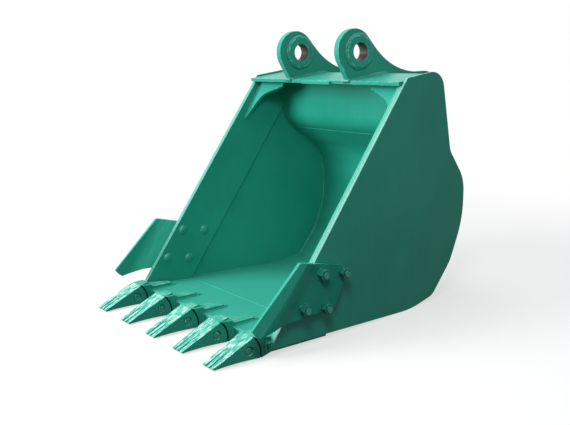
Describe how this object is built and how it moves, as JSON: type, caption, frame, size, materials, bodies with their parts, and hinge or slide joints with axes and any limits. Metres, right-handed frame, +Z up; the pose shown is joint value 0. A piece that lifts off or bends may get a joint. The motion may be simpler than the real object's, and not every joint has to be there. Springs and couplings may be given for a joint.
{
  "type": "excavator bucket",
  "caption": "Welded excavator digging bucket: tapered body with a closed hinge box, pin ears with bushed bores, bolted side cutters and pinned teeth on a sloped lip.",
  "frame": {"origin": "centre of the stick pin bore, midway between the ears", "axes": "+X along the pins, across the bucket; +Y back, away from the teeth; +Z up, with the bucket set down on its heel and its teeth"},
  "size_m": [1.209, 1.507, 1.2279],
  "materials": {
    "bucket_paint": "teal green gloss enamel over rolled plate, with weld beads and light scuffs",
    "tooth_paint": "the same enamel over cast steel, scuffed pale at the tips",
    "fastener_paint": "the same enamel over forged bolts and nuts",
    "bare_steel": "unpainted dark machined steel with a greased look"
  },
  "bodies": {
    "root": {"box_front_plate": "bucket_paint", "box_rib_left": "bucket_paint", "box_rib_right": "bucket_paint", "bucket_shell": "bucket_paint", "corner_gusset_left": "bucket_paint", "corner_gusset_right": "bucket_paint", "cutter_bolts_left": "fastener_paint", "cutter_bolts_right": "fastener_paint", "cutter_nuts_left": "fastener_paint", "cutter_nuts_right": "fastener_paint", "cutter_washers_left": "fastener_paint", "cutter_washers_right": "fastener_paint", "ear_left": "bucket_paint", "ear_right": "bucket_paint", "front_stop_strip": "bucket_paint", "hinge_rear_plate": "bucket_paint", "hinge_top_plate": "bucket_paint", "link_bush_left": "bare_steel", "link_bush_right": "bare_steel", "link_hub_left": "bucket_paint", "link_hub_right": "bucket_paint", "lip_plate": "bucket_paint", "side_bar_left": "bucket_paint", "side_bar_right": "bucket_paint", "side_cutter_left": "bucket_paint", "side_cutter_right": "bucket_paint", "side_plate_left": "bucket_paint", "side_plate_right": "bucket_paint", "stick_bush_left": "bare_steel", "stick_bush_right": "bare_steel", "stick_hub_left": "bucket_paint", "stick_hub_right": "bucket_paint", "tooth_adapter_1": "tooth_paint", "tooth_adapter_2": "tooth_paint", "tooth_adapter_3": "tooth_paint", "tooth_adapter_4": "tooth_paint", "tooth_adapter_5": "tooth_paint", "tooth_pin_1": "bare_steel", "tooth_pin_2": "bare_steel", "tooth_pin_3": "bare_steel", "tooth_pin_4": "bare_steel", "tooth_pin_5": "bare_steel", "tooth_point_1": "tooth_paint", "tooth_point_2": "tooth_paint", "tooth_point_3": "tooth_paint", "tooth_point_4": "tooth_paint", "tooth_point_5": "tooth_paint", "tooth_retainer_1": "bare_steel", "tooth_retainer_2": "bare_steel", "tooth_retainer_3": "bare_steel", "tooth_retainer_4": "bare_steel", "tooth_retainer_5": "bare_steel"}
  },
  "joints": []
}
